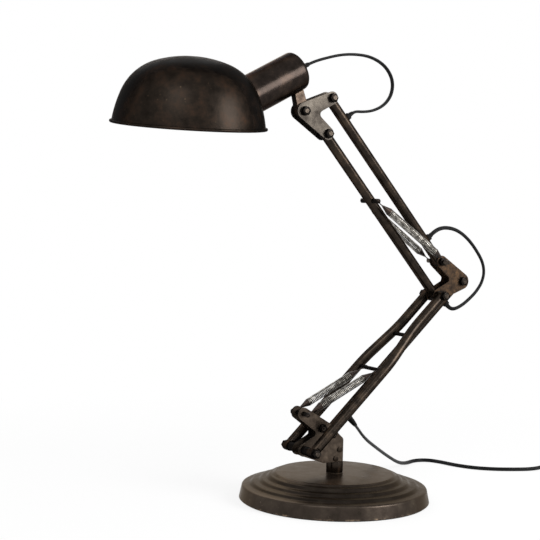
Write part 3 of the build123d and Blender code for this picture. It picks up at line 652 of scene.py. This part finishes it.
# The stem: a forged strap that hangs the housing from the tilt bolt between the plates. Its finish
# is worn through to a pinkish tan where hands and the plates rub it.
stem_iron = weathered(
    "rubbed_forged_iron",
    [(0.32, "#2a231e"), (0.46, "#463b33"), (0.58, "#5f5247"), (0.74, "#7e7165")],
    patch=11.0, gloss=(0.3, 0.5), metallic=0.8, grain=0.5, lift=0.15, rim="#8a8178")
filed("head_stem", 0.5, stem_iron, "aged_iron", "head", cut_edge=iron)


# The housing: a steel cup, drawn and closed by a low domed end, that holds the lampholder. It
# passes through the shade's shoulder and is brazed to it.
HOUSING_ANGLE = 27.6
HOUSING_FROM_TILT = (-65.77, 0, 18.739)
# Rings of a radius and a place on the axis: up the inside, round the mouth and over the end.
HOUSING_RINGS = [
    (1.0, 64.8), (14.0, 64.4), (20.0, 63.4), (22.4, 61.8), (23.1, 59.5), (23.1, -23.4),
    (23.4, -24.0), (24.0, -24.0), (24.3, -23.6), (24.3, 61.5), (24.1, 63.2), (23.4, 64.8),
    (22.2, 66.0), (20.6, 66.8), (18.0, 67.6), (12.15, 69.0), (6.0, 69.75), (1.0, 70.0)]
tilt_bolt = middle_of("head_tilt_bolt")
housing_point = tilt_bolt + Vector(HOUSING_FROM_TILT) * MM


def toward(angle):
    """The way that lies this many degrees up from X in the plane that the arm swings in."""
    turn = math.radians(angle)
    return Vector((math.cos(turn), 0, math.sin(turn)))


housing_axis = toward(HOUSING_ANGLE)
housing = turned("socket_housing_drawn", HOUSING_RINGS, 72, housing_point, housing_axis)
# The same iron drawn over a mandrel, which leaves it smoother, so that it takes a clear highlight.
cup_iron = weathered(
    "antiqued_iron_drawn_cup",
    [(0.3, "#1d1916"), (0.5, "#292320"), (0.65, "#362d27"), (0.8, "#45352a")],
    patch=17.0, gloss=(0.2, 0.32), metallic=0.9, grain=1.3, lift=0.14, rim="#a39a90",
    chips=(3.0, 0.02, "#5f5040"))
settle(housing, cup_iron, "aged_iron", ["socket_housing"], "head", smooth=30)
GLAND_RINGS = [
    (3.5, 66.0), (5.0, 68.0), (5.0, 71.5), (4.6, 72.0), (4.6, 73.0), (5.0, 73.5), (5.0, 76.5),
    (4.6, 77.6), (3.6, 78.0)]
gland = turned("cord_gland_moulded", GLAND_RINGS, 32, housing_point, housing_axis)
settle(gland, rubber, "black_rubber", ["cord_gland"], "head")


# The lampholder: a cup moulded in glossy black phenolic, fixed in the housing, with a screw shell
# and a centre contact of thin brass, which a tarnish makes a little brown and uneven.
brass = weathered(
    "tarnished_brass", [(0.3, "#7d6330"), (0.7, "#b39250")],
    patch=5.0, gloss=(0.25, 0.42), metallic=1.0, grain=0.4, lift=0.08)
holder_plastic = weathered(
    "moulded_black_phenolic", [(0.3, "#121110"), (0.7, "#1c1a18")],
    patch=12.0, gloss=(0.26, 0.36), metallic=0.0, grain=0.5, lift=0.04)
filed("lampholder", 0.4, holder_plastic, "black_plastic", "head")
SOCKET_R, SOCKET_IN_R = 14.2, 13.2
SOCKET_BACK, SOCKET_FRONT = 28.0, 4.0
SCREW_PITCH, SCREW_EASE = 3.6, 0.2
rings = [(SOCKET_R, SOCKET_BACK), (SOCKET_R, SOCKET_FRONT)]
height = SOCKET_FRONT
while height < SOCKET_BACK - SCREW_PITCH:
    rings += [
        (SOCKET_IN_R, height + SCREW_PITCH * 0.25),
        (SOCKET_R - SCREW_EASE, height + SCREW_PITCH * 0.75)]
    height += SCREW_PITCH
rings.append((SOCKET_IN_R, SOCKET_BACK))
shell = turned("socket_shell_rolled", rings, 48, housing_point, housing_axis)
settle(shell, brass, "brass", ["socket_shell"], "head")
filed("centre_contact", 0.4, brass, "brass", "head")


# The shade: a dome spun from one steel sheet, three curves that run into each other from a flat
# crown to a steep skirt, with its edge rolled over a wire. It tilts a little on its housing.
SHADE_FROM_TILT = (-154.27, 0, -25.461)
SHADE_TILT_X, SHADE_TILT_Y = 5.9, 0.85
DOME_HIGH = 81.2
CROWN_R, CROWN_HALF, CROWN_TOP = 131.0, 18.7, 89.5
SHOULDER_R, SHOULDER_END = 63.2, 22.0
SIDE_R = 153.0
SHEET = 1.2
LIP_R, LIP_Z = 1.8, 1.9
SHADE_SIDES = 160
# The hole is a tenth of a millimetre inside the housing, which closes it.
HOLE_R, HOLE_LOW, HOLE_HIGH = 24.2, -60.0, 66.0


def from_centre(centre, angle, radius):
    """The point on a circle at an angle from its level radius."""
    turn = math.radians(angle)
    return centre[0] + radius * math.cos(turn), centre[1] + radius * math.sin(turn)


crown = (0, DOME_HIGH - CROWN_R)
crown_end = 90 - CROWN_HALF
shoulder = from_centre(crown, crown_end, CROWN_R - SHOULDER_R)
skirt = from_centre(shoulder, SHOULDER_END, SHOULDER_R - SIDE_R)
skirt_low = math.degrees(math.asin((LIP_Z - skirt[1]) / SIDE_R))
outside, inside = [], []
for centre, radius, first, last, count in (
        (skirt, SIDE_R, skirt_low, SHOULDER_END, 12),
        (shoulder, SHOULDER_R, SHOULDER_END, crown_end, 14),
        (crown, CROWN_R, crown_end, CROWN_TOP, 8)):
    for i in range(count):
        angle = first + (last - first) * i / count
        outside.append(from_centre(centre, angle, radius))
        inside.append(from_centre(centre, angle, radius - SHEET))
dome = turned("shade_spun", list(reversed(inside)) + outside, SHADE_SIDES)
bpy.ops.object.select_all(action="DESELECT")
rim_r = outside[0][0]
bpy.ops.mesh.primitive_torus_add(
    major_segments=SHADE_SIDES, minor_segments=16, major_radius=(rim_r - SHEET + LIP_R) * MM,
    minor_radius=LIP_R * MM, location=(0, 0, LIP_Z * MM))
lip = bpy.context.object
lip.name = "shade_rolled_edge"
into_mesh(lip)
tilt = Matrix.Rotation(math.radians(SHADE_TILT_X), 4, "X")
tilt = tilt @ Matrix.Rotation(math.radians(-SHADE_TILT_Y), 4, "Y")
shade_place = tilt_bolt + Vector(SHADE_FROM_TILT) * MM
for piece in (dome, lip):
    piece.data.transform(Matrix.Translation(shade_place) @ tilt)
cutter = turned(
    "cutter", [(HOLE_R, HOLE_LOW), (HOLE_R, HOLE_HIGH)], 72, housing_point, housing_axis)
hole = dome.modifiers.new("hole", "BOOLEAN")
hole.object = cutter
hole.operation = "DIFFERENCE"
hole.solver = "EXACT"
pick(dome)
bpy.ops.object.modifier_apply(modifier="hole")
bpy.data.objects.remove(cutter)
settle(dome, iron, "aged_iron", ["shade"], "head", smooth=30)
settle(lip, iron, "aged_iron", ["shade"], "head", smooth=60)


# The springs: bright steel wire wound with small gaps on two tapered plugs, each with a hook round
# its pin. The lower pair pulls the fork towards the yoke, the upper pair the link to the elbow.
SPRING_R, WIRE_R = 4.2, 0.7
TURN_PITCH, TURN_STEPS = 2.2, 18
HOOK_R, HOOK_SHANK = 4.1, 7.0
PLUG_LONG, PLUG_TIP_R = 12.0, 1.3
WIRE_MERGE = 0.01 * MM
# Drawn wire is smooth and bright, in bands where it has dulled. The plugs are turned and browned.
spring_wire = weathered(
    "bright_drawn_spring_wire", [(0.36, "#413e3a"), (0.5, "#827e77"), (0.64, "#c4c0b9")],
    patch=7.0, gloss=(0.12, 0.26), metallic=1.0, grain=0.5, lift=0.05)
plug_steel = weathered(
    "browned_turned_plug", [(0.3, "#1b1613"), (0.7, "#3d3028")],
    patch=4.0, gloss=(0.3, 0.5), metallic=0.7, grain=0.5, lift=0.1)


def tension_spring(node, start, end):
    """One spring between two pins: a wound body between tapered plugs, and hooks at its ends."""
    span = end - start
    length = span.length / MM
    tip = HOOK_R + HOOK_SHANK
    low = tip + PLUG_LONG
    far_end = Matrix.Translation((0, 0, length * MM)) @ Matrix.Rotation(math.pi, 4, "X")
    pieces = []
    # A plug widens from its shank's tip to the coil, and its neck sits inside the first turns.
    for end_move in (Matrix.Identity(4), far_end):
        plug = turned("plug", [
            (PLUG_TIP_R - 0.3, tip - 1), (PLUG_TIP_R, tip),
            (SPRING_R + WIRE_R - 0.2, low - 0.6), (SPRING_R + WIRE_R, low),
            (SPRING_R - WIRE_R, low + 1.2), (SPRING_R - WIRE_R, low + 4)], 24)
        plug.data.materials.append(plug_steel)
        shank = turned("shank", [(WIRE_R, HOOK_R - 0.5), (WIRE_R, tip)], 12)
        shank.data.materials.append(plug_steel)
        bpy.ops.object.select_all(action="DESELECT")
        bpy.ops.mesh.primitive_torus_add(
            major_segments=36, minor_segments=10, major_radius=HOOK_R * MM,
            minor_radius=WIRE_R * MM, rotation=(0, math.pi / 2, 0))
        hook = bpy.context.object
        into_mesh(hook)
        hook.data.materials.append(plug_steel)
        for piece in (plug, shank, hook):
            piece.data.transform(end_move)
            pieces.append(piece)
    turns = round((length - 2 * low) / TURN_PITCH)
    bpy.ops.object.select_all(action="DESELECT")
    bpy.ops.mesh.primitive_circle_add(
        vertices=8, radius=WIRE_R * MM, location=(SPRING_R * MM, 0, low * MM),
        rotation=(math.pi / 2, 0, 0))
    coil = bpy.context.object
    into_mesh(coil)
    wind = coil.modifiers.new("wind", "SCREW")
    wind.axis = "Z"
    wind.screw_offset = (length - 2 * low) / turns * MM
    wind.iterations = turns
    wind.steps = wind.render_steps = TURN_STEPS
    bpy.ops.object.modifier_apply(modifier="wind")
    bpy.ops.object.mode_set(mode="EDIT")
    bpy.ops.mesh.select_all(action="SELECT")
    bpy.ops.mesh.remove_doubles(threshold=WIRE_MERGE)
    bpy.ops.mesh.normals_make_consistent(inside=False)
    bpy.ops.object.mode_set(mode="OBJECT")
    coil.data.materials.append(spring_wire)
    whole = joined(node + "_wound", [coil] + pieces, start, span)
    settle(whole, None, "spring_steel", [node], smooth=50)
    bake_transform(whole)


LOW_SPRING_Y, HIGH_SPRING_Y = 14.5, 17.5
anchor, rod = middle_of("spring_anchor_pin"), middle_of("fork_rod_low")
long_pin, link_pin = middle_of("elbow_spring_pin"), middle_of("upper_spring_pin")
for side, sign in (("front", -1), ("rear", 1)):
    across = Vector((0, sign * LOW_SPRING_Y * MM, 0))
    tension_spring(
        "lower_spring_" + side, anchor + across, rod + across)
    wide = Vector((0, sign * HIGH_SPRING_Y * MM, 0))
    tension_spring(
        "upper_spring_" + side, long_pin + wide, link_pin + across)


# The cord switch and the plug: moulded in black ABS, the switch from two halves with a rocker,
# the plug in one piece with the lead and with two nickelled pins. The ABS is satin, finely grained.
abs_black = weathered(
    "moulded_black_abs", [(0.3, "#0f0f10"), (0.7, "#19191b")],
    patch=14.0, gloss=(0.3, 0.42), metallic=0.0, grain=0.9, lift=0.08, shine=0.3)
switch_body = filed("cord_switch_body", 0.5, abs_black, "black_plastic", "base")
rocker = filed("cord_switch_rocker", 0.4, abs_black, "black_plastic", "switch_rocker")
plug_body = filed("plug", 0.3, abs_black, "black_plastic", "base")
# Nickel plate on turned brass pins: pale grey, bright and smooth.
nickel = weathered(
    "nickel_plated_pins", [(0.3, "#a39e94"), (0.7, "#c4beb2")],
    patch=4.0, gloss=(0.16, 0.26), metallic=1.0, grain=0.4, lift=0.04)
PINS_BELOW_X = 413.5
plug_body.data.materials.append(nickel)
for face in plug_body.data.polygons:
    face.material_index = 1 if face.center.x < PINS_BELOW_X * MM else 0


# The flex: black PVC, two round cores moulded side by side with a groove between. It runs inside
# the tubes, bridges the head and the elbow in free loops, and leaves the arm's foot for the table.
LOWER_ANGLE, UPPER_ANGLE = 43.1, 131.2
TUBE_R = 6.35 * MM
FLEX_WIDTH, FLEX_THICK = 5.4 * MM, 3.5 * MM
CORE_SIDES = 10
# Extruded PVC is deep black and even, with a soft sheen along its length.
black_pvc = weathered(
    "extruded_black_pvc", [(0.35, "#080808"), (0.7, "#0f0f10")],
    patch=9.0, gloss=(0.36, 0.48), metallic=0.0, grain=0.8, lift=0.05, shine=0.1)


def flex_line(name, points):
    """Points read from the smooth spline that the route's points control."""
    curve = bpy.data.curves.new(name, "CURVE")
    curve.dimensions = "3D"
    curve.resolution_u = 10
    spline = curve.splines.new("NURBS")
    spline.points.add(len(points) - 1)
    for knot, place in zip(spline.points, points):
        knot.co = (*place, 1.0)
    spline.order_u = 3
    spline.use_endpoint_u = True
    carrier = bpy.data.objects.new(name, curve)
    bpy.context.scene.collection.objects.link(carrier)
    bpy.context.view_layer.update()
    mesh = bpy.data.meshes.new_from_object(carrier)
    line = [vertex.co.copy() for vertex in mesh.vertices]
    bpy.data.objects.remove(carrier)
    bpy.data.meshes.remove(mesh)
    return line


def tube_mesh(name, line, outlines, width_way=None, twist=0.0):
    """A closed mesh whose sections, given point by point, stand square to a line."""
    turn_u, turn_v = math.cos(math.radians(twist)), math.sin(math.radians(twist))
    shape = bmesh.new()
    rings = []
    for i, place in enumerate(line):
        ahead = (line[min(i + 1, len(line) - 1)] - line[max(i - 1, 0)]).normalized()
        width = Vector(width_way) if width_way else Vector((0, 0, 1)).cross(ahead)
        width = (width - ahead * width.dot(ahead)).normalized()
        depth = ahead.cross(width)
        width, depth = width * turn_u + depth * turn_v, depth * turn_u - width * turn_v
        rings.append([shape.verts.new(place + width * u + depth * v) for u, v in outlines[i]])
    count = len(outlines[0])
    for a, b in zip(rings, rings[1:]):
        for i in range(count):
            shape.faces.new((a[i], a[(i + 1) % count], b[(i + 1) % count], b[i]))
    shape.faces.new(list(reversed(rings[0])))
    shape.faces.new(rings[-1])
    bmesh.ops.recalc_face_normals(shape, faces=shape.faces)
    mesh = bpy.data.meshes.new(name)
    shape.to_mesh(mesh)
    shape.free()
    piece = bpy.data.objects.new(name, mesh)
    bpy.context.scene.collection.objects.link(piece)
    return piece


def flex(node, points, width_way=None, twist=0.0):
    """A length of flex along a route; its width lies level or along a way, and may be twisted."""
    line = flex_line(node, points)
    radius = FLEX_THICK / 2
    offset = FLEX_WIDTH / 2 - radius
    meet = math.acos(-offset / radius)
    section = []
    for side in (1, -1):
        for i in range(CORE_SIDES):
            angle = -meet + 2 * meet * i / (CORE_SIDES - 1)
            section.append((
                side * (offset + radius * math.cos(angle)), side * radius * math.sin(angle)))
    piece = tube_mesh(node + "_flex", line, [section] * len(line), width_way, twist)
    settle(piece, black_pvc, "black_pvc", [node], smooth=50)
    return piece, line, sum((b - a).length for a, b in zip(line, line[1:]))


# Each relief's length, and its half thickness at its root and at its tip, in mm.
LOOP_BOOT, ARM_BOOT, LEAD_BOOT = (7.0, 3.3, 2.5), (22, 3.9, 2.3), (20, 3.6, 2.3)
BOOT_SIDES = 20
BOOT_FLAT = 1.25
RIB_DEEP = 0.35 * MM


def boot(name, line, size, width_way=None):
    """A tapered rubber relief round the start of a line, ribbed along its length."""
    reach, thick, thin = (part * MM for part in size)
    path, section, gone = [], [], 0.0
    for a, b in zip(line, line[1:]):
        if gone > reach:
            break
        path.append(a)
        gone += (b - a).length
    count = len(path)
    for i in range(count):
        radius = thick + (thin - thick) * (i / (count - 1)) - (RIB_DEEP if i % 2 else 0.0)
        turns = [math.tau * k / BOOT_SIDES for k in range(BOOT_SIDES)]
        section.append([
            (BOOT_FLAT * radius * math.cos(turn), radius * math.sin(turn)) for turn in turns])
    return tube_mesh(name, path, section, width_way)


def metres(*places):
    """A route's points, given in mm."""
    return [Vector(place) * MM for place in places]


def from_pivot(pivot, *offsets):
    """A route's points in the arm's plane, given in mm across and up from a pivot."""
    return [pivot + Vector((x, 0, z)) * MM for x, z in offsets]


def split(points, last):
    """The route in two, which meet in the middle of the run after the point numbered last."""
    middle = (points[last] + points[last + 1]) * 0.5
    return points[:last + 1] + [middle], [middle] + points[last + 1:]


GROMMET_FROM_EYE = 35.0 * MM
GROMMET_HIGH = 3.0 * MM
# How far in mm the flex runs straight out of each mouth before its route turns.
GLAND_LEAD, HEAD_LEAD, ELBOW_LEAD, LOW_LEAD, MAINS_LEAD = 12, 9, 10, 7, 9


def grommet_mouth(eye, angle, distance):
    """Where a bush lets the flex out of a tube, a way along it from an eye, and which way."""
    out = toward(angle - 90)
    return eye + toward(angle) * distance + out * (TUBE_R + GROMMET_HIGH), out


base_apex = middle_of("yoke_apex_bolt")
elbow_apex = middle_of("elbow_apex_bolt")
head_mouth, head_out = grommet_mouth(middle_of("head_high_bolt"), UPPER_ANGLE, -GROMMET_FROM_EYE)
elbow_mouth, elbow_out = grommet_mouth(long_pin, UPPER_ANGLE, GROMMET_FROM_EYE)
low_mouth, low_out = grommet_mouth(elbow_apex, LOWER_ANGLE, -GROMMET_FROM_EYE)
mains_mouth, mains_out = grommet_mouth(base_apex, LOWER_ANGLE, GROMMET_FROM_EYE)

GLAND_END = 78.0 * MM
gland_end = housing_point + housing_axis * GLAND_END
head_route = [gland_end, gland_end + housing_axis * GLAND_LEAD * MM] + from_pivot(
    tilt_bolt, (34.5, 67), (56.5, 72.5), (78.5, 74.5), (100.5, 73), (120.5, 65), (132.5, 52.5),
    (136.5, 39), (133, 24.5), (122.5, 13), (107.5, 6), (92.5, 3.5)) + [
    head_mouth + head_out * HEAD_LEAD * MM, head_mouth]
elbow_route = [elbow_mouth, elbow_mouth + elbow_out * ELBOW_LEAD * MM] + from_pivot(
    elbow_apex, (-30.8, 70.4), (-14.8, 69.9), (0.2, 64.9), (16.2, 53.9), (30.2, 38.9), (40.2, 24.9),
    (43.7, 10.9), (40.2, -2.6), (31.2, -14.6), (19.2, -24.6), (7.2, -32.6), (-5.3, -37.6)) + [
    low_mouth + low_out * LOW_LEAD * MM, low_mouth]
# Each loop's name, route, the point after which it is split, its bodies, its twist, and for each
# half an angle, a distance past the half's start and a length in mm.
LOOPS = [
    ("head_loop", head_route, 7, ("head", "head_bracket", "upper_arm"), 0.0,
     ((45, -4, 90), (230, -8, 90))),
    ("elbow_loop", elbow_route, 7, ("upper_arm", "elbow", "lower_arm"), 55.0,
     ((345, -4, 110), (240, 0, 75))),
]
for name, route, last, bodies, twist, turns in LOOPS:
    for part, points, pair, (angle, past, reach) in zip(
            ("upper", "lower"), split(route, last), (bodies[:2], bodies[1:]), turns):
        node = name + "_" + part
        piece, line, length = flex(node, points, (0, 1, 0), twist)
        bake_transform(piece)
        ends = line if part == "upper" else list(reversed(line))
        relief = boot(node + "_relief", ends, LOOP_BOOT, (0, 1, 0))
        settle(relief, rubber, "black_rubber", [node], smooth=50)
        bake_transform(relief)


# The mains lead falls from the arm's foot behind the base, wanders over the table, and runs
# through a cord switch into a neat coil with its plug beside it. Heights are to its middle.
CORD_Z = 1.8
EDGE_Z, EDGE_TWIST = 2.6, 55.0
SWITCH_X, SWITCH_Y = 400.0, 22.0
SWITCH_LENGTH, SWITCH_HEIGHT = 58.0, 17.0
SETTLED = (303, 48, EDGE_Z)
mains_route = [mains_mouth, mains_mouth + mains_out * MAINS_LEAD * MM] + metres(
    (40, 12, 88), (71, 36, 65.5), (111, 63, 44.5), (147, 88, 26.5), (184, 113, 9.5),
    (212, 132, 3.0), (236, 145, EDGE_Z), (256, 140, EDGE_Z), (265, 120, EDGE_Z),
    (270, 94, EDGE_Z), (282, 68, EDGE_Z), SETTLED, (329, 34.5, EDGE_Z),
    (352, 26, EDGE_Z), (370, SWITCH_Y, 4.5), (386, SWITCH_Y, SWITCH_HEIGHT / 2),
    (SWITCH_X, SWITCH_Y, SWITCH_HEIGHT / 2))
drop_points, run_points = split(mains_route, 4)
drop, line, length = flex("mains_drop", drop_points, twist=EDGE_TWIST)
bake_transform(drop)
relief = boot("mains_drop_relief", line, ARM_BOOT)
settle(relief, rubber, "black_rubber", ["mains_drop"], smooth=50)
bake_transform(relief)
run, line, length = flex("mains_run", run_points, twist=EDGE_TWIST)
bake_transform(run)
relief = boot("switch_relief_near", list(reversed(line)), LEAD_BOOT)
settle(relief, rubber, "black_rubber", ["mains_run"], "base", smooth=50)

# The coil: two layers of three turns, wound inwards on the table and outwards on top, so that its
# end comes off the upper layer to the plug.
COIL_OUT, COIL_IN = 38.0, 20.0
COIL_LAYER, LAYER_TURNS, TURN_POINTS = 3.9, 3, 12
COIL_LEAD, COIL_TAIL = 28.0, 36.0
PLUG_HEIGHT = 14.0
exit_x = SWITCH_X + SWITCH_LENGTH
coil_middle = Vector((exit_x + COIL_LEAD, SWITCH_Y - COIL_OUT, 0))
coil_route = metres(
    (exit_x, SWITCH_Y, SWITCH_HEIGHT / 2), (exit_x + 6, SWITCH_Y, SWITCH_HEIGHT / 2),
    (exit_x + 13, SWITCH_Y, 4.0), (exit_x + 20, SWITCH_Y, CORD_Z))
steps = LAYER_TURNS * TURN_POINTS
last_step = 2 * steps + TURN_POINTS // 2
# The spline cuts inside its points, so they stand a little further out.
swell = (1 + 1 / math.cos(math.pi / TURN_POINTS)) / 2
for i in range(last_step + 1):
    angle = 2 * math.pi * i / TURN_POINTS
    inward = min(i, last_step - i, steps)
    radius = (COIL_OUT - (COIL_OUT - COIL_IN) * inward / steps) * swell
    climb = min(max((i - steps) / (TURN_POINTS / 2), 0), 1)
    place = coil_middle + Vector((math.sin(angle), math.cos(angle), 0)) * radius
    coil_route.append(Vector((place.x, place.y, CORD_Z + COIL_LAYER * climb)) * MM)
entry = Vector((coil_middle.x - COIL_TAIL, coil_middle.y - COIL_OUT, PLUG_HEIGHT / 2))
coil_route += [(entry + Vector((16, 0, -0.6))) * MM, (entry + Vector((6, 0, 0))) * MM, entry * MM]
coil, line, length = flex("mains_coil", coil_route)
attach(coil, "base")
for name, ends in (("switch_relief_far", line), ("plug_relief", list(reversed(line)))):
    relief = boot(name, ends, LEAD_BOOT)
    settle(relief, rubber, "black_rubber", ["mains_coil"], "base", smooth=50)
